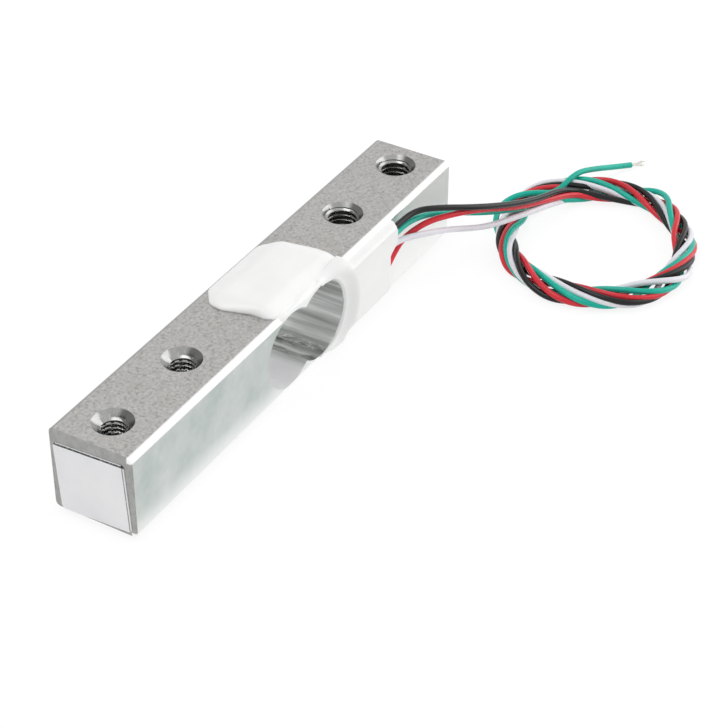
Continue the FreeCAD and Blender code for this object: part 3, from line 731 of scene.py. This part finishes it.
def stripped_tip(colour, end, direction):
    """The bare strands at a lead's far end, lightly twisted and spreading toward their tips."""
    axis = direction.normalized()
    aside = axis.orthogonal().normalized()
    curve = bpy.data.curves.new(colour + "_strands", "CURVE")
    curve.dimensions = "3D"
    curve.bevel_depth = STRAND_RADIUS
    curve.bevel_resolution = 2
    curve.use_fill_caps = True
    steps = 8
    for strand in range(TIP_STRANDS):
        spline = curve.splines.new("POLY")
        spline.points.add(steps)
        length = TIP_LENGTH * (0.78 + 0.22 * (3 * strand % TIP_STRANDS) / TIP_STRANDS)
        for step, control in enumerate(spline.points):
            share = step / steps
            angle = math.tau * strand / TIP_STRANDS + WAVER[colour] + 2.2 * share
            spread = (0.13 + 0.30 * share ** 2) * MM
            place = (end + axis * (length * share - 0.3 * MM)
                     + Matrix.Rotation(angle, 3, axis) @ aside * spread)
            place.z = max(place.z, FLOOR + STRAND_RADIUS)
            control.co = (*place, 1)
    drawn = bpy.data.objects.new("strands", curve)
    bpy.context.collection.objects.link(drawn)
    graph = bpy.context.evaluated_depsgraph_get()
    mesh = bpy.data.meshes.new_from_object(drawn.evaluated_get(graph))
    bpy.data.objects.remove(drawn)
    bpy.data.curves.remove(curve)
    tip = bpy.data.objects.new(colour + "_strands", mesh)
    bpy.context.collection.objects.link(tip)
    mesh.shade_smooth()
    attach(tip, "root")
    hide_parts(colour + "_lead_tip")
    return tip


def centre_line_length(piece):
    """The length of a curve's line, measured with its thickness off."""
    depth = piece.data.bevel_depth
    piece.data.bevel_depth = 0
    graph = bpy.context.evaluated_depsgraph_get()
    line = bpy.data.meshes.new_from_object(piece.evaluated_get(graph))
    places = [vertex.co.copy() for vertex in line.vertices]
    bpy.data.meshes.remove(line)
    piece.data.bevel_depth = depth
    return sum((b - a).length for a, b in zip(places, places[1:]))


# ------------------------------------------------------------------ stage

def floor():
    """A pale floor that keeps the object's shadow."""
    bm = bmesh.new()
    bmesh.ops.create_grid(bm, x_segments=2, y_segments=2, size=3.0,
                          matrix=Matrix.Translation((0, 0, FLOOR)))
    piece = mesh_object("floor", bm, smooth=False)
    m = Material("floor", (0.93, 0.93, 0.93), 0.7)
    m.color(m.ramp(m.noise(6, 3), (0.3, (0.92, 0.92, 0.92)), (0.7, (0.94, 0.94, 0.94))))
    seen = m.node("ShaderNodeLightPath")
    white = m.node("ShaderNodeEmission")
    white.inputs["Strength"].default_value = FLOOR_GLOW
    rays = m.math("MAXIMUM", seen.outputs["Is Camera Ray"],
                  m.math("MAXIMUM", seen.outputs["Is Glossy Ray"],
                         seen.outputs["Is Transmission Ray"]))
    mixed = m.node("ShaderNodeMixShader")
    m.link(m.math("MULTIPLY", rays, FLOOR_GLOW_SHARE), mixed.inputs[0])
    m.link(m.shader.outputs[0], mixed.inputs[1])
    m.link(white.outputs[0], mixed.inputs[2])
    m.link(mixed.outputs[0], m.tree.nodes["Material Output"].inputs["Surface"])
    m.on(piece)


def area_light(name, place, target, size, power):
    data = bpy.data.lights.new(name, "AREA")
    data.shape = "DISK"
    data.size = size
    data.energy = power
    light = bpy.data.objects.new(name, data)
    light.location = place
    light.rotation_euler = (Vector(target) - Vector(place)).to_track_quat("-Z", "Y").to_euler()
    bpy.context.collection.objects.link(light)


def world():
    """White to the camera and in whatever shines, and an even, lower light on the rest."""
    world = bpy.data.worlds.new("studio")
    bpy.context.scene.world = world
    world.use_nodes = True
    nodes, links = world.node_tree.nodes, world.node_tree.links
    even = nodes["Background"]
    even.inputs["Color"].default_value = (1, 1, 1, 1)
    even.inputs["Strength"].default_value = WORLD_LIGHT
    white = nodes.new("ShaderNodeBackground")
    white.inputs["Color"].default_value = (1, 1, 1, 1)
    white.inputs["Strength"].default_value = 1.0
    seen = nodes.new("ShaderNodeLightPath")
    rays = seen.outputs["Is Camera Ray"]
    for kind in ("Is Glossy Ray", "Is Transmission Ray"):
        either = nodes.new("ShaderNodeMath")
        either.operation = "MAXIMUM"
        links.new(rays, either.inputs[0])
        links.new(seen.outputs[kind], either.inputs[1])
        rays = either.outputs[0]
    mixed = nodes.new("ShaderNodeMixShader")
    links.new(rays, mixed.inputs[0])
    links.new(even.outputs[0], mixed.inputs[1])
    links.new(white.outputs[0], mixed.inputs[2])
    links.new(mixed.outputs[0], nodes["World Output"].inputs["Surface"])


def camera():
    data = bpy.data.cameras.new("camera")
    data.sensor_width = SENSOR_WIDTH
    data.lens = LENS
    data.clip_start = NEAR_CLIP
    up = CAMERA_RIGHT.cross(CAMERA_FORWARD)
    turn = Matrix((CAMERA_RIGHT, up, -CAMERA_FORWARD)).transposed()
    view = bpy.data.objects.new("camera", data)
    view.matrix_world = Matrix.Translation(CAMERA_PLACE) @ turn.to_4x4()
    bpy.context.collection.objects.link(view)
    bpy.context.scene.camera = view


# ------------------------------------------------------------------ the scene

bpy.context.scene.view_settings.view_transform = "Standard"
world()
camera()
floor()
area_light("key", (-0.15, 0.10, 0.50), BAR_MIDDLE, 0.40, 0.8)
area_light("edge", (0.36, -0.34, 0.22), BAR_MIDDLE, 0.60, 1.3)

machined_aluminium().on(threaded_bar())
silicone().on(soft_coat())

insulations = {
    "red": insulation("red_insulation", (0.66, 0.022, 0.035), (0.76, 0.035, 0.055)),
    "white": insulation("white_insulation", (0.78, 0.77, 0.83), (0.88, 0.87, 0.92)),
    "green": insulation("green_insulation", (0.002, 0.42, 0.31), (0.004, 0.52, 0.39)),
    "black": insulation("black_insulation", (0.004, 0.005, 0.005), (0.008, 0.009, 0.009)),
}
tips = [lead(colour, material) for colour, material in insulations.items()]

tinned = bare_metal("tinned_copper", (0.58, 0.56, 0.52), (0.75, 0.73, 0.70), 0.3)
tinned.on(*tips)
finishes = {
    "tinned_copper": tinned,
    "label_paper": label_material(),
    "gauge_film": matt("gauge_film", (0.55, 0.33, 0.10), (0.68, 0.42, 0.14), 0.3),
    "gauge_foil": bare_metal("gauge_foil", (0.45, 0.40, 0.34), (0.58, 0.52, 0.44), 0.35),
    "strip_laminate": matt("strip_laminate", (0.06, 0.18, 0.09), (0.09, 0.25, 0.12), 0.4),
    "pad_copper": bare_metal("pad_copper", (0.62, 0.30, 0.18), (0.75, 0.40, 0.26), 0.3),
    "solder": bare_metal("solder", (0.62, 0.62, 0.62), (0.78, 0.78, 0.78), 0.25),
    "enamelled_copper": bare_metal("enamelled_copper", (0.36, 0.12, 0.05),
                                   (0.48, 0.18, 0.08), 0.25, 0.6),
}
for entry in frame["record"]["subparts"]:
    if entry["material_slot"] in finishes:
        finishes[entry["material_slot"]].on(frame["nodes"][entry["node"]])
